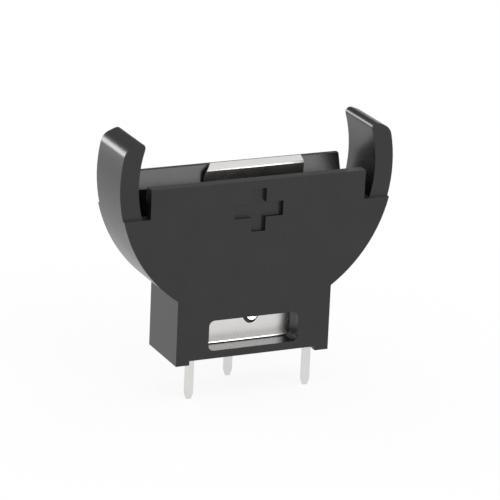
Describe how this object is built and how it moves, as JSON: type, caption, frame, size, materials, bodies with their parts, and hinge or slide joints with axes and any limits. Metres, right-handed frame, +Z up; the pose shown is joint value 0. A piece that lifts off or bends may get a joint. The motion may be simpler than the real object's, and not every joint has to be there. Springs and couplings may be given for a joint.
{
  "type": "coin cell holder",
  "caption": "Upright through-hole holder that grips one coin cell on edge between two sprung arms, with bent sheet contacts and solder pins.",
  "frame": {"origin": "on the board's face, on the centreline, midway between the front and back rows of solder pins", "axes": "+X across the width to the right as seen from the marked front, +Y from the marked front to the back, +Z up away from the board"},
  "size_m": [0.0232, 0.0054, 0.0215],
  "materials": {
    "black_nylon": "moulded, semi-gloss",
    "plated_spring": "satin plated spring sheet"
  },
  "bodies": {
    "root": {"housing": "black_nylon", "positive_contact": "plated_spring", "negative_contact": "plated_spring"}
  },
  "joints": []
}
